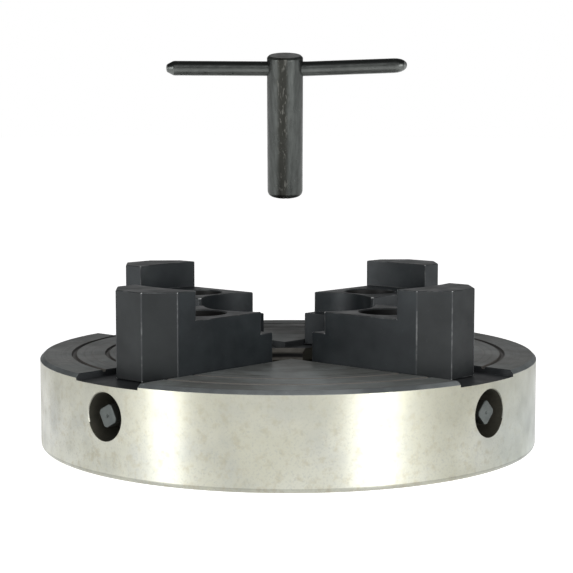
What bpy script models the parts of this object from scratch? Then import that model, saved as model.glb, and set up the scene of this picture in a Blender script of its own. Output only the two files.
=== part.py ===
"""Four-jaw independent lathe chuck with its T-handle key.

The chuck lies on its back face with its axis along +Z and one jaw along each of +X, +Y, -X and -Y.
Each jaw slides in a shallow slot and is driven by its own left-hand screw, which a fork block holds
endways and which the key turns by a square end set back in the rim. The key hangs above the chuck.
"""
import math

import bmesh
import bpy
from mathutils import Matrix, Vector

MM = 0.001

# Body, in millimetres
BODY_RADIUS = 80.0
BODY_HEIGHT = 29.2
BODY_SEGMENTS = 72
TOP_CHAMFER = 1.1
CORNER_SHARE = 0.3
BOTTOM_CHAMFER = 1.5
BORE_RADIUS = 17.0
BORE_CHAMFER = 1.2
RECESS_RADIUS = 50.0
RECESS_DEPTH = 2.4
TAPPED_HOLE_RADIUS = 3.4
TAPPED_HOLE_DEPTH = 16.0
TAPPED_HOLE_CIRCLE = 66.0

# Jaw slots, from the face down
SLOT_WIDTH = 26.6
SLOT_DEPTH = 1.9
NECK_WIDTH = 14.4
GROOVE_WIDTH = 20.6
GROOVE_TOP = 5.8
GROOVE_BOTTOM = 9.7
CHANNEL_END = 58.0
SCREW_AXIS_DEPTH = 11.0
SCREW_HOLE_RADIUS = 7.05
SCREW_HOLE_SEGMENTS = 24

# Jaws: distances from the chuck's axis and heights above the face
JAW_WIDTH = 26.0
JAW_REST_OUTWARD = (1.1, 1.1, 0.0, 0.0)
JAW_TOE = 21.65
JAW_TOE_HOLLOW = 1.2
JAW_LEDGE_HEIGHT = 9.1
JAW_NOSE = 26.3
JAW_NOSE_BEVEL = 0.6
JAW_NOSE_RADIUS = 17.9
JAW_STEP_HEIGHT = 15.9
JAW_GRIP = 55.0
JAW_GRIP_RADIUS = 58.0
JAW_TOP_HEIGHT = 24.8
JAW_SHOULDER = 62.5
JAW_END = 70.0
JAW_END_BEVEL = 7.45
JAW_EDGE = 0.6
SHARP_ANGLE = 40.0
ARC_STEPS = 8
WELL_CENTRE = 41.0
WELL_RADIUS = 8.5
WELL_DEPTH = 11.0
WELL_RIM = 0.4
WELL_SEGMENTS = 32
FOOT_INNER = 27.0
FOOT_OUTER = 49.2
STEM_WIDTH = 13.8
FLANGE_WIDTH = 20.0
FLANGE_TOP = 6.1
FLANGE_BOTTOM = 9.3

# Screws: distances from the chuck's axis
THREAD_START = 20.5
THREAD_END = 58.7
THREAD_CREST = 6.4
THREAD_ROOT = 5.0
THREAD_PITCH = 4.0
THREAD_CREST_HALF = 0.6
THREAD_FLANK = 0.5
THREAD_SEGMENTS = 16
THREAD_STEP = THREAD_PITCH / 5
NECK_RADIUS = 4.2
COLLAR_START = 64.3
COLLAR_END = 70.3
COLLAR_RADIUS = 6.75
COLLAR_BEVEL = 0.5
SQUARE_END = 78.6
SQUARE_SIDE = 5.9
SQUARE_CORNER = 0.86
SQUARE_BEVEL = 0.4
SQUARE_ANGLES = (12.0, 33.0, 20.0, 45.0)
CENTRE_DRILL_RADIUS = 0.8
NUT_CLEARANCE = 0.35

# Fork blocks that hold the screws endways, let in from the back
BLOCK_START = 59.0
BLOCK_THICKNESS = 5.0
BLOCK_WIDTH = 14.0
BLOCK_FOOT = 0.8
BLOCK_ABOVE_AXIS = 2.0
FORK_STEPS = 12
PIN_RADIUS = 1.5
PIN_LENGTH = 8.0
PIN_BEVEL = 0.3
PIN_SEGMENTS = 20
PIN_HOLE_SEGMENTS = 16

# Key, about the middle of its barrel
KEY_HEIGHT_OVER_FACE = 72.65
KEY_SHIFT = -1.0
KEY_BAR_ANGLE = -48.0
KEY_TILT = 12.5
BARREL_RADIUS = 5.72
BARREL_LENGTH = 45.8
BARREL_TOP_CHAMFER = 0.8
BARREL_FOOT_CHAMFER = 1.2
BARREL_SEGMENTS = 40
SOCKET_SIDE = 6.6
SOCKET_DEPTH = 12.0
SOCKET_TURN = 48.0
BAR_RADIUS = 2.32
BAR_BELOW_TOP = 4.32
BAR_HALF_LENGTHS = (37.7, 38.7)
BAR_SLOPES = (0.3, 2.07)
BAR_BEND = 6.2
BAR_SEGMENTS = 28
# Distance in from each tip of the bar and the share of the full radius there.
BAR_LEFT_TIP = ((0.0, 0.45), (0.5, 0.62), (2.4, 1.0))
BAR_RIGHT_TIP = ((3.2, 1.0), (1.4, 0.82), (0.3, 0.5), (0.0, 0.3))

GAP = 0.3
OVERRUN = 1.0
SCREW_AXIS_HEIGHT = BODY_HEIGHT - SCREW_AXIS_DEPTH
QUARTER = math.pi / 2


def clear_scene():
    for obj in list(bpy.data.objects):
        bpy.data.objects.remove(obj, do_unlink=True)


def make_material(name, colour, roughness, metallic):
    mat = bpy.data.materials.new(name)
    mat.use_nodes = True
    shader = mat.node_tree.nodes["Principled BSDF"]
    shader.inputs["Base Color"].default_value = (*colour, 1.0)
    shader.inputs["Roughness"].default_value = roughness
    shader.inputs["Metallic"].default_value = metallic
    return mat


def make_object(name, verts, faces, mat=None, origin=(0.0, 0.0, 0.0)):
    """Mesh object from millimetre points, with its origin moved to a millimetre point."""
    centre = Vector(origin)
    mesh = bpy.data.meshes.new(name)
    mesh.from_pydata([(Vector(v) - centre) * MM for v in verts], [], faces)
    mesh.validate()
    bm = bmesh.new()
    bm.from_mesh(mesh)
    bmesh.ops.recalc_face_normals(bm, faces=bm.faces)
    bm.to_mesh(mesh)
    bm.free()
    obj = bpy.data.objects.new(name, mesh)
    bpy.context.collection.objects.link(obj)
    obj.location = centre * MM
    if mat:
        mesh.materials.append(mat)
    return obj


def box(name, low, high):
    xs, ys, zs = zip(low, high)
    verts = [(x, y, z) for z in zs for y in ys for x in xs]
    faces = [(0, 2, 3, 1), (4, 5, 7, 6), (0, 1, 5, 4), (2, 6, 7, 3), (0, 4, 6, 2), (1, 3, 7, 5)]
    return make_object(name, verts, faces)


def prism(name, outline, z_low, z_high, mat=None, origin=(0.0, 0.0, 0.0)):
    count = len(outline)
    verts = [(x, y, z_low) for x, y in outline] + [(x, y, z_high) for x, y in outline]
    faces = [tuple(reversed(range(count))), tuple(range(count, 2 * count))]
    for i in range(count):
        j = (i + 1) % count
        faces.append((i, j, count + j, count + i))
    return make_object(name, verts, faces, mat, origin)


def tube(name, rings, mat=None, origin=(0.0, 0.0, 0.0)):
    """Closed skin over a row of rings that have the same number of points."""
    count = len(rings[0])
    verts = [p for ring in rings for p in ring]
    faces = [tuple(range(count)), tuple(range(len(verts) - count, len(verts)))]
    for level in range(len(rings) - 1):
        for i in range(count):
            j = (i + 1) % count
            a, b = level * count, (level + 1) * count
            faces.append((a + i, a + j, b + j, b + i))
    return make_object(name, verts, faces, mat, origin)


def ring_of_revolution(name, profile, segments, mat=None):
    """Solid swept about Z from a closed (radius, height) profile that stays off the axis."""
    verts = []
    faces = []
    count = len(profile)
    for step in range(segments):
        angle = 2 * math.pi * step / segments
        for radius, height in profile:
            verts.append((radius * math.cos(angle), radius * math.sin(angle), height))
        after = (step + 1) % segments
        for i in range(count):
            j = (i + 1) % count
            faces.append((step * count + i, after * count + i, after * count + j, step * count + j))
    return make_object(name, verts, faces, mat)


def axial_ring(radius, height, segments, phase=0.0):
    """Circle about Z."""
    ring = []
    for i in range(segments):
        angle = phase + 2 * math.pi * i / segments
        ring.append((radius * math.cos(angle), radius * math.sin(angle), height))
    return ring


def upright_cylinder(name, centre, radius, z_low, z_high, segments=24):
    rings = []
    for height in (z_low, z_high):
        rings.append([(x + centre[0], y + centre[1], z) for x, y, z in axial_ring(radius, height, segments)])
    return tube(name, rings)


def lengthwise_cylinder(name, radius, x_low, x_high, height, segments=32):
    """Cylinder along X."""
    rings = []
    for x in (x_low, x_high):
        rings.append([(x, y, height + z) for y, z, _ in axial_ring(radius, 0.0, segments)])
    return tube(name, rings)


def turn(obj, quarter_turns):
    """Turn an object about the chuck's axis and carry its origin round with it."""
    spin = Matrix.Rotation(quarter_turns * QUARTER, 4, "Z")
    obj.location = spin @ obj.location
    obj.rotation_euler = (0.0, 0.0, quarter_turns * QUARTER)
    return obj


def hide_cutter(obj):
    obj.hide_render = True
    obj.display_type = "WIRE"


def combine(target, tool, operation):
    mod = target.modifiers.new(tool.name, "BOOLEAN")
    mod.operation = operation
    mod.solver = "EXACT"
    mod.object = tool
    hide_cutter(tool)


def cut(target, tool):
    combine(target, tool, "DIFFERENCE")


def shade_round(obj, limit_degrees=35.0):
    """Smooth shading that keeps edges steeper than the limit sharp."""
    bm = bmesh.new()
    bm.from_mesh(obj.data)
    for face in bm.faces:
        face.smooth = True
    for edge in bm.edges:
        edge.smooth = edge.is_manifold and edge.calc_face_angle(0.0) < math.radians(limit_degrees)
    bm.to_mesh(obj.data)
    bm.free()


def arc_points(radius, half_chord, corner, steps):
    """Hollow arc across the slot: both ends lie at corner, and the middle lies further out."""
    centre = corner - math.sqrt(radius ** 2 - half_chord ** 2)
    spread = math.asin(half_chord / radius)
    points = []
    for i in range(steps + 1):
        angle = spread - 2 * spread * i / steps
        points.append((centre + radius * math.cos(angle), radius * math.sin(angle)))
    return points


def body_profile():
    top = BODY_HEIGHT
    slot_floor = top - SLOT_DEPTH
    points = [
        (BORE_RADIUS, RECESS_DEPTH),
        (RECESS_RADIUS, RECESS_DEPTH),
        (RECESS_RADIUS, 0.0),
        (BODY_RADIUS - BOTTOM_CHAMFER, 0.0),
        (BODY_RADIUS - CORNER_SHARE * BOTTOM_CHAMFER, CORNER_SHARE * BOTTOM_CHAMFER),
        (BODY_RADIUS, BOTTOM_CHAMFER),
        (BODY_RADIUS, top - TOP_CHAMFER),
        (BODY_RADIUS - TOP_CHAMFER, top),
    ]
    points += [
        (BORE_RADIUS + BORE_CHAMFER, top),
        (BORE_RADIUS + BORE_CHAMFER, slot_floor),
        (BORE_RADIUS, slot_floor - BORE_CHAMFER),
    ]
    return points


def build_body(mat):
    body = ring_of_revolution("chuck_body", body_profile(), BODY_SEGMENTS, mat)
    shade_round(body)
    top = BODY_HEIGHT + OVERRUN
    slot_floor = BODY_HEIGHT - SLOT_DEPTH
    reach = BODY_RADIUS + OVERRUN
    for k in range(2):
        half = SLOT_WIDTH / 2
        slot = box(f"slot_cutter_{k}", (-reach, -half, slot_floor), (reach, half, top))
        half = NECK_WIDTH / 2
        neck = box(f"neck_cutter_{k}", (-CHANNEL_END, -half, SCREW_AXIS_HEIGHT), (CHANNEL_END, half, top))
        half = GROOVE_WIDTH / 2
        groove = box(
            f"groove_cutter_{k}",
            (-CHANNEL_END, -half, BODY_HEIGHT - GROOVE_BOTTOM),
            (CHANNEL_END, half, BODY_HEIGHT - GROOVE_TOP),
        )
        hole = lengthwise_cylinder(
            f"screw_hole_cutter_{k}", SCREW_HOLE_RADIUS, -reach, reach, SCREW_AXIS_HEIGHT, SCREW_HOLE_SEGMENTS
        )
        for tool in (slot, neck, groove, hole):
            cut(body, turn(tool, k))
    for k in range(4):
        half = BLOCK_WIDTH / 2 + GAP
        pocket = box(
            f"block_pocket_cutter_{k}",
            (BLOCK_START - GAP, -half, -OVERRUN),
            (BLOCK_START + BLOCK_THICKNESS + GAP, half, SCREW_AXIS_HEIGHT + BLOCK_ABOVE_AXIS + GAP),
        )
        cut(body, turn(pocket, k))
        cut(body, turn(pin_hole_cutter(f"pin_hole_cutter_{k}"), k))
        tapped = upright_cylinder(
            f"tapped_hole_cutter_{k}",
            (TAPPED_HOLE_CIRCLE, 0.0),
            TAPPED_HOLE_RADIUS,
            -OVERRUN,
            TAPPED_HOLE_DEPTH,
        )
        cut(body, turn(tapped, k + 0.5))
    return body


def pin_centre():
    return (BLOCK_START + BLOCK_THICKNESS / 2, BLOCK_WIDTH / 2 + GAP / 2)


def pin_hole_cutter(name):
    top = BLOCK_FOOT + PIN_LENGTH + GAP
    return upright_cylinder(name, pin_centre(), PIN_RADIUS + GAP, -OVERRUN, top, PIN_HOLE_SEGMENTS)


def build_jaw(k, mat):
    """One solid reversible jaw: outer block, two steps down to the toe, and a foot with a half nut."""
    face = BODY_HEIGHT
    half = JAW_WIDTH / 2
    shift = JAW_REST_OUTWARD[k]
    toe_radius = (half ** 2 + JAW_TOE_HOLLOW ** 2) / (2 * JAW_TOE_HOLLOW)
    outline = [
        (JAW_SHOULDER, half),
        *arc_points(toe_radius, half, JAW_TOE, ARC_STEPS),
        (JAW_SHOULDER, -half),
        (JAW_END, JAW_END_BEVEL - half),
        (JAW_END, half - JAW_END_BEVEL),
    ]
    outline = [(u + shift, v) for u, v in outline]
    low = face - SLOT_DEPTH + GAP
    origin = (WELL_CENTRE + shift, 0.0, SCREW_AXIS_HEIGHT)
    jaw = prism(f"jaw_{k + 1}", outline, low, face + JAW_TOP_HEIGHT, mat, origin)

    wide = half + OVERRUN
    inner = JAW_TOE - 4 * OVERRUN + shift
    grip = [(u + shift, v) for u, v in arc_points(JAW_GRIP_RADIUS, wide, grip_corner(wide), ARC_STEPS)]
    step = prism(
        f"jaw_step_cutter_{k}",
        [(inner, wide), *grip, (inner, -wide)],
        face + JAW_STEP_HEIGHT,
        face + JAW_TOP_HEIGHT + OVERRUN,
    )
    flat = half - JAW_NOSE_BEVEL
    nose = [
        (JAW_NOSE + JAW_NOSE_BEVEL + OVERRUN, wide),
        *arc_points(JAW_NOSE_RADIUS, flat, JAW_NOSE, ARC_STEPS),
        (JAW_NOSE + JAW_NOSE_BEVEL + OVERRUN, -wide),
    ]
    nose = [(u + shift, v) for u, v in nose]
    ledge = prism(
        f"jaw_ledge_cutter_{k}",
        [(inner, wide), *nose, (inner, -wide)],
        face + JAW_LEDGE_HEIGHT,
        face + JAW_TOP_HEIGHT + OVERRUN,
    )
    for tool in (step, ledge):
        cut(jaw, turn(tool, k))

    bevel = jaw.modifiers.new("broken_edges", "BEVEL")
    bevel.width = JAW_EDGE * MM
    bevel.segments = 1
    bevel.limit_method = "ANGLE"
    bevel.angle_limit = math.radians(SHARP_ANGLE)

    top = face + JAW_STEP_HEIGHT
    floor = top - WELL_DEPTH
    rings = []
    for radius, height in (
        (WELL_RADIUS, floor),
        (WELL_RADIUS, top - WELL_RIM),
        (WELL_RADIUS + WELL_RIM, top),
        (WELL_RADIUS + WELL_RIM, top + OVERRUN),
    ):
        ring = axial_ring(radius, height, WELL_SEGMENTS)
        rings.append([(x + WELL_CENTRE + shift, y, z) for x, y, z in ring])
    cut(jaw, turn(tube(f"jaw_well_cutter_{k}", rings), k))

    stem = STEM_WIDTH / 2
    flange = FLANGE_WIDTH / 2
    section = [
        (stem, low + 2 * OVERRUN),
        (stem, face - FLANGE_TOP),
        (flange, face - FLANGE_TOP),
        (flange, face - FLANGE_BOTTOM),
    ]
    section += [(-y, z) for y, z in reversed(section)]
    rings = [[(x + shift, y, z) for y, z in section] for x in (FOOT_INNER, FOOT_OUTER)]
    foot = tube(f"jaw_foot_{k}", rings)
    combine(jaw, turn(foot, k), "UNION")
    cut(jaw, turn(thread_cutter(k), k))
    turn(jaw, k)
    shade_round(jaw)
    return jaw


def grip_corner(half_chord):
    """Distance from the axis at which the gripping arc crosses a given half width."""
    drop = math.sqrt(JAW_GRIP_RADIUS ** 2 - (JAW_WIDTH / 2) ** 2)
    return JAW_GRIP - drop + math.sqrt(JAW_GRIP_RADIUS ** 2 - half_chord ** 2)


def thread_ring(x, angle_points, grown=0.0):
    """One section of a left-hand thread, grown all over by a clearance: the radius follows the helix."""
    crest_half = THREAD_CREST_HALF + grown
    ring = []
    for angle in angle_points:
        along = (x / THREAD_PITCH + angle / (2 * math.pi)) % 1.0
        offset = abs(along - 0.5) * THREAD_PITCH
        blend = min(max((crest_half + THREAD_FLANK - offset) / THREAD_FLANK, 0.0), 1.0)
        radius = THREAD_ROOT + (THREAD_CREST - THREAD_ROOT) * blend + grown
        ring.append((x, radius * math.cos(angle), SCREW_AXIS_HEIGHT + radius * math.sin(angle)))
    return ring


def thread_cutter(k):
    """The screw's own thread, grown by the running clearance."""
    angles = [2 * math.pi * i / THREAD_SEGMENTS for i in range(THREAD_SEGMENTS)]
    count = math.ceil((FOOT_OUTER - FOOT_INNER + 6 * OVERRUN) / THREAD_STEP)
    rings = []
    for i in range(count):
        x = FOOT_INNER - 2 * OVERRUN + i * THREAD_STEP
        rings.append(thread_ring(x, angles, NUT_CLEARANCE))
    return tube(f"half_nut_cutter_{k}", rings)


def square_radius(angle):
    """Outline of the square end, whose corners are cut back to a share of the full diagonal."""
    flat = SQUARE_SIDE / 2 / max(abs(math.cos(angle)), abs(math.sin(angle)))
    return min(flat, SQUARE_CORNER * SQUARE_SIDE / math.sqrt(2))


def build_screw(k, mat):
    angles = [2 * math.pi * i / THREAD_SEGMENTS for i in range(THREAD_SEGMENTS)]

    def round_ring(x, radius):
        return [(x, radius * math.cos(a), SCREW_AXIS_HEIGHT + radius * math.sin(a)) for a in angles]

    def square_ring(x, shrink):
        tilt = math.radians(SQUARE_ANGLES[k])
        ring = []
        for a in angles:
            radius = square_radius(a) - shrink
            y, z = radius * math.cos(a + tilt), radius * math.sin(a + tilt)
            ring.append((x, y, SCREW_AXIS_HEIGHT + z))
        shift = round(tilt / (2 * math.pi) * THREAD_SEGMENTS)
        return ring[-shift:] + ring[:-shift] if shift else ring

    start = THREAD_START + THREAD_FLANK
    rings = [round_ring(THREAD_START, THREAD_ROOT - THREAD_FLANK), round_ring(start, THREAD_ROOT)]
    count = int((THREAD_END - start - THREAD_STEP) / THREAD_STEP)
    for i in range(1, count + 1):
        rings.append(thread_ring(start + i * THREAD_STEP, angles))
    rings += [
        round_ring(THREAD_END - THREAD_FLANK / 2, THREAD_CREST),
        round_ring(THREAD_END, THREAD_CREST),
        round_ring(THREAD_END, NECK_RADIUS),
        round_ring(COLLAR_START, NECK_RADIUS),
        round_ring(COLLAR_START, COLLAR_RADIUS - COLLAR_BEVEL),
        round_ring(COLLAR_START + COLLAR_BEVEL, COLLAR_RADIUS),
        round_ring(COLLAR_END - COLLAR_BEVEL, COLLAR_RADIUS),
        round_ring(COLLAR_END, COLLAR_RADIUS - COLLAR_BEVEL),
        square_ring(COLLAR_END, 0.0),
        square_ring(SQUARE_END - SQUARE_BEVEL, 0.0),
        square_ring(SQUARE_END, SQUARE_BEVEL),
        round_ring(SQUARE_END, CENTRE_DRILL_RADIUS),
        round_ring(SQUARE_END - CENTRE_DRILL_RADIUS, 0.2),
    ]
    origin = (THREAD_START, 0.0, SCREW_AXIS_HEIGHT)
    screw = tube(f"jaw_screw_{k + 1}", rings, mat, origin)
    turn(screw, k)
    shade_round(screw)
    return screw


def build_block(k, mat):
    """Fork that straddles the screw's neck."""
    half = BLOCK_WIDTH / 2
    prong = NECK_RADIUS + GAP
    top = SCREW_AXIS_HEIGHT + BLOCK_ABOVE_AXIS
    section = [(-half, BLOCK_FOOT), (half, BLOCK_FOOT), (half, top), (prong, top)]
    for i in range(FORK_STEPS + 1):
        angle = -math.pi * i / FORK_STEPS
        section.append((prong * math.cos(angle), SCREW_AXIS_HEIGHT + prong * math.sin(angle)))
    section += [(-prong, top), (-half, top)]
    rings = []
    for x in (BLOCK_START, BLOCK_START + BLOCK_THICKNESS):
        rings.append([(x, y, z) for y, z in section])
    block = tube(f"thrust_block_{k + 1}", rings, mat)
    cut(block, turn(pin_hole_cutter(f"block_groove_cutter_{k}"), k))
    turn(block, k)
    return block


def build_pin(k, mat):
    x, y = pin_centre()
    rings = []
    stations = (
        (PIN_BEVEL, 0.0),
        (0.0, PIN_BEVEL),
        (0.0, PIN_LENGTH - PIN_BEVEL),
        (PIN_BEVEL, PIN_LENGTH),
    )
    for shrink, height in stations:
        ring = axial_ring(PIN_RADIUS - shrink, BLOCK_FOOT + height, PIN_SEGMENTS)
        rings.append([(px + x, py + y, pz) for px, py, pz in ring])
    pin = tube(f"block_pin_{k + 1}", rings, mat, (x, y, BLOCK_FOOT))
    turn(pin, k)
    shade_round(pin)
    return pin


def key_frame():
    """Middle of the barrel, with local X along the bar and the top leaning out over the -Y side."""
    turned = Matrix.Rotation(math.radians(KEY_BAR_ANGLE), 4, "Z")
    leaned = Matrix.Rotation(math.radians(KEY_TILT), 4, "X")
    middle = turned @ Vector((KEY_SHIFT, 0.0, 0.0))
    middle.z = BODY_HEIGHT + KEY_HEIGHT_OVER_FACE
    return Matrix.Translation(middle * MM) @ turned @ leaned


def place_key_part(obj):
    obj.matrix_world = key_frame()


def bar_rise(x):
    """The bar is bent upwards on both sides of a point just outside the barrel."""
    left, right = (math.tan(math.radians(slope)) for slope in BAR_SLOPES)
    return (BAR_BEND - x) * left if x < BAR_BEND else (x - BAR_BEND) * right


def build_key(barrel_mat, bar_mat):
    half = BARREL_LENGTH / 2
    radius = BARREL_RADIUS
    foot = -half + (1 - CORNER_SHARE) * BARREL_FOOT_CHAMFER
    rings = [
        axial_ring(radius - BARREL_FOOT_CHAMFER, -half, BARREL_SEGMENTS),
        axial_ring(radius - CORNER_SHARE * BARREL_FOOT_CHAMFER, foot, BARREL_SEGMENTS),
        axial_ring(radius, foot + CORNER_SHARE * BARREL_FOOT_CHAMFER, BARREL_SEGMENTS),
        axial_ring(radius, half - BARREL_TOP_CHAMFER, BARREL_SEGMENTS),
        axial_ring(radius - BARREL_TOP_CHAMFER, half, BARREL_SEGMENTS),
    ]
    barrel = tube("key_barrel", rings, barrel_mat)
    place_key_part(barrel)
    shade_round(barrel)
    side = SOCKET_SIDE / 2
    socket = box("socket_cutter", (-side, -side, -half - OVERRUN), (side, side, -half + SOCKET_DEPTH))
    place_key_part(socket)
    socket.matrix_world = socket.matrix_world @ Matrix.Rotation(math.radians(SOCKET_TURN), 4, "Z")
    cut(barrel, socket)
    reach = radius + OVERRUN
    cross = lengthwise_cylinder(
        "bar_hole_cutter", BAR_RADIUS + GAP, -reach, reach, half - BAR_BELOW_TOP, BAR_SEGMENTS
    )
    place_key_part(cross)
    cut(barrel, cross)

    left, right = BAR_HALF_LENGTHS
    stations = [(inset - left, share) for inset, share in BAR_LEFT_TIP]
    stations.append((BAR_BEND, 1.0))
    stations += [(right - inset, share) for inset, share in BAR_RIGHT_TIP]
    rings = []
    for x, share in stations:
        rise = half - BAR_BELOW_TOP + bar_rise(x)
        ring = axial_ring(BAR_RADIUS * share, 0.0, BAR_SEGMENTS)
        rings.append([(x, y, rise + z) for y, z, _ in ring])
    bar = tube("key_bar", rings, bar_mat)
    place_key_part(bar)
    shade_round(bar)
    return barrel, bar


def main():
    clear_scene()
    body_mat = make_material("chuck_iron", (0.56, 0.56, 0.50), 0.32, 0.9)
    build_body(body_mat)
    for k in range(4):
        build_jaw(k, make_material(f"jaw_steel_{k + 1}", (0.055, 0.062, 0.066), 0.42, 0.7))
        build_screw(k, make_material(f"screw_steel_{k + 1}", (0.16, 0.18, 0.17), 0.45, 0.7))
        build_block(k, make_material(f"block_steel_{k + 1}", (0.12, 0.12, 0.12), 0.5, 0.7))
        build_pin(k, make_material(f"pin_steel_{k + 1}", (0.4, 0.4, 0.4), 0.35, 0.9))
    barrel_mat = make_material("key_barrel_steel", (0.09, 0.095, 0.088), 0.4, 0.6)
    bar_mat = make_material("key_bar_steel", (0.07, 0.075, 0.072), 0.35, 0.6)
    build_key(barrel_mat, bar_mat)


main()
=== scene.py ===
"""Looks of the four-jaw lathe chuck and its key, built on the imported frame."""
import math

import bmesh
import bpy
from mathutils import Matrix, Vector


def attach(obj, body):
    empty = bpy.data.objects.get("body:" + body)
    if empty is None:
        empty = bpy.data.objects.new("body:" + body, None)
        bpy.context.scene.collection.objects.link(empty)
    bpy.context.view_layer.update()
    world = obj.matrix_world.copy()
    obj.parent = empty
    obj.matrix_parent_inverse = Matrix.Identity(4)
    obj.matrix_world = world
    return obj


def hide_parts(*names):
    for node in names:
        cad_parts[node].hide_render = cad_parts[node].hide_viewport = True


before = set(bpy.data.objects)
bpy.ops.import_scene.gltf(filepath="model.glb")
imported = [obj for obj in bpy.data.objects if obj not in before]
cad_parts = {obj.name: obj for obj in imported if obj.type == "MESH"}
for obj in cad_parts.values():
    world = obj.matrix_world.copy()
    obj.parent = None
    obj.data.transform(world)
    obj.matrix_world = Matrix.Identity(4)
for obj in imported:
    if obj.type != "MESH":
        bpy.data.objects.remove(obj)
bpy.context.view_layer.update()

MM = 0.001
QUARTER = math.pi / 2

# Sizes shared with the CAD model, in millimetres
BODY_RADIUS = 80.0
BODY_HEIGHT = 29.2
TOP_CHAMFER = 1.1
BOTTOM_CHAMFER = 1.5
BORE_RADIUS = 17.0
BORE_CHAMFER = 1.2
RECESS_RADIUS = 50.0
RECESS_DEPTH = 2.4
TAPPED_HOLE_RADIUS = 3.4
TAPPED_HOLE_DEPTH = 16.0
TAPPED_HOLE_CIRCLE = 66.0
SLOT_WIDTH = 26.6
SLOT_DEPTH = 1.9
NECK_WIDTH = 14.4
GROOVE_WIDTH = 20.6
GROOVE_TOP = 5.8
GROOVE_BOTTOM = 9.7
CHANNEL_END = 58.0
SCREW_AXIS_HEIGHT = 18.2
SCREW_HOLE_RADIUS = 7.05
JAW_WIDTH = 26.0
JAW_REST_OUTWARD = (1.1, 1.1, 0.0, 0.0)
JAW_TOE = 21.65
JAW_TOE_HOLLOW = 1.2
JAW_LEDGE_HEIGHT = 9.1
JAW_NOSE = 26.3
JAW_NOSE_BEVEL = 0.6
JAW_NOSE_RADIUS = 17.9
JAW_STEP_HEIGHT = 15.9
JAW_GRIP = 55.0
JAW_GRIP_RADIUS = 58.0
JAW_TOP_HEIGHT = 24.8
JAW_SHOULDER = 62.5
JAW_END = 70.0
JAW_END_BEVEL = 7.45
WELL_CENTRE = 41.0
WELL_RADIUS = 8.5
WELL_DEPTH = 11.0
WELL_RIM = 0.4
FOOT_INNER = 27.0
FOOT_OUTER = 49.2
STEM_WIDTH = 13.8
FLANGE_WIDTH = 20.0
FLANGE_TOP = 6.1
FLANGE_BOTTOM = 9.3
THREAD_START = 20.5
THREAD_END = 58.7
THREAD_CREST = 6.4
THREAD_ROOT = 5.0
THREAD_PITCH = 4.0
NECK_RADIUS = 4.2
COLLAR_START = 64.3
COLLAR_END = 70.3
COLLAR_RADIUS = 6.75
SQUARE_END = 78.6
SQUARE_SIDE = 5.9
CENTRE_DRILL_RADIUS = 0.55
NUT_CLEARANCE = 0.35
BLOCK_START = 59.0
BLOCK_THICKNESS = 5.0
BLOCK_WIDTH = 14.0
BLOCK_FOOT = 0.8
BLOCK_ABOVE_AXIS = 2.0
PIN_RADIUS = 1.5
PIN_LENGTH = 8.0
KEY_HEIGHT_OVER_FACE = 72.65
KEY_SHIFT = -1.0
KEY_BAR_ANGLE = -48.0
KEY_TILT = 12.5
BARREL_RADIUS = 5.72
BARREL_LENGTH = 45.8
SOCKET_SIDE = 6.6
SOCKET_DEPTH = 12.0
SOCKET_TURN = 48.0
BAR_RADIUS = 2.32
BAR_BELOW_TOP = 4.32
BAR_HALF_LENGTHS = (37.7, 38.7)
BAR_SLOPES = (0.3, 2.07)
BAR_BEND = 6.2
GAP = 0.3
OVERRUN = 1.0

# Finer detail of the visual model, in millimetres; grooves are (radius, width, depth)
BODY_SEGMENTS = 256
FOOT_ARC_STEPS = 6
THREAD_SEGMENTS = 40
THREAD_STEPS_PER_TURN = 10
THREAD_CREST_HALF = 0.6
THREAD_FLANK = 0.5
MAIN_GROOVES = ((69.2, 1.4, 0.7), (58.6, 1.2, 0.6))
FINE_GROOVES = ((51.7, 0.6, 0.18), (40.4, 0.6, 0.18), (29.8, 0.6, 0.18))
GROOVE_LIP = 0.12
GROOVE_LIP_DEPTH = 0.10
GROOVE_FLOOR_STEP = 0.05
SLOT_EDGE = 0.3
RECESS_EDGE = 0.6
BACK_EDGE = 0.5
HOLE_EDGE = (0.3, 0.6)
TAPPED_EDGE = 0.6
TAPPED_POINT = (0.3, 1.5)
JAW_EDGE = 0.75
CORNER_AREA = 0.12
SQUARE_CORNER = 0.86
SOCKET_FLARE = 0.5
BAR_HOLE_GAP = 0.12

# How far each screw's square is turned, in degrees
SQUARE_ANGLES = (12.0, 33.0, 28.0, 45.0)

# Level directions on the chuck. They are fixed numbers equal to the camera's direction and its right: the
# tones that use them were matched to the photo, and they are painted light towards the camera and painted
# shade and reflection towards its right, not wear
PAINTED_LIGHT_SIDE = (-0.743, -0.669)
PAINTED_SHADE_SIDE = (0.669, -0.743)

# The painted dark reflection band down the key's barrel: where it lies across the camera's right, and its
# wavering edge, in metres
KEY_REFLECTION_BAND_SHIFT = 0.0018
KEY_REFLECTION_BAND_EDGE = (0.0009, 0.0021)
KEY_REFLECTION_BAND_WAVER = 0.0016

# Camera: where it stands, in degrees about the chuck and metres, and what it looks at
CAMERA_AZIMUTH = -137.99
CAMERA_ELEVATION = 8.1946
CAMERA_DISTANCE = 0.531345
CAMERA_LENS = 102.2925
CAMERA_AIM_HEIGHT = 0.05001
CAMERA_AIM_SIDE = -0.000527

# Light: glow of the paper floor, and brightness of the room low down and overhead
FLOOR_GLOW = 0.86
FLOOR_HALF = 6.0
ROOM_LOW = 0.55
ROOM_HIGH = 0.20
ROOM_TOP = 0.8
LIGHT_DISTANCE = 0.9
LIGHT_TARGET = (0.0, 0.0, 0.02)

# Softboxes: name, degrees to the camera's right, height, width and depth in metres, watts
SOFTBOXES = (
    ("left_softbox", -52.5, 0.17, (0.15, 0.34), 2.1),
    ("right_softbox", 37.5, 0.17, (0.29, 0.34), 3.1),
    ("left_fill", -64.0, 0.17, (0.26, 0.34), 0.39),
    ("right_fill", 49.0, 0.17, (0.36, 0.34), 0.65),
    ("front_softbox", -4.0, 0.75, (0.9, 0.5), 3.3),
)


# ---------------------------------------------------------------- meshes

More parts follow.
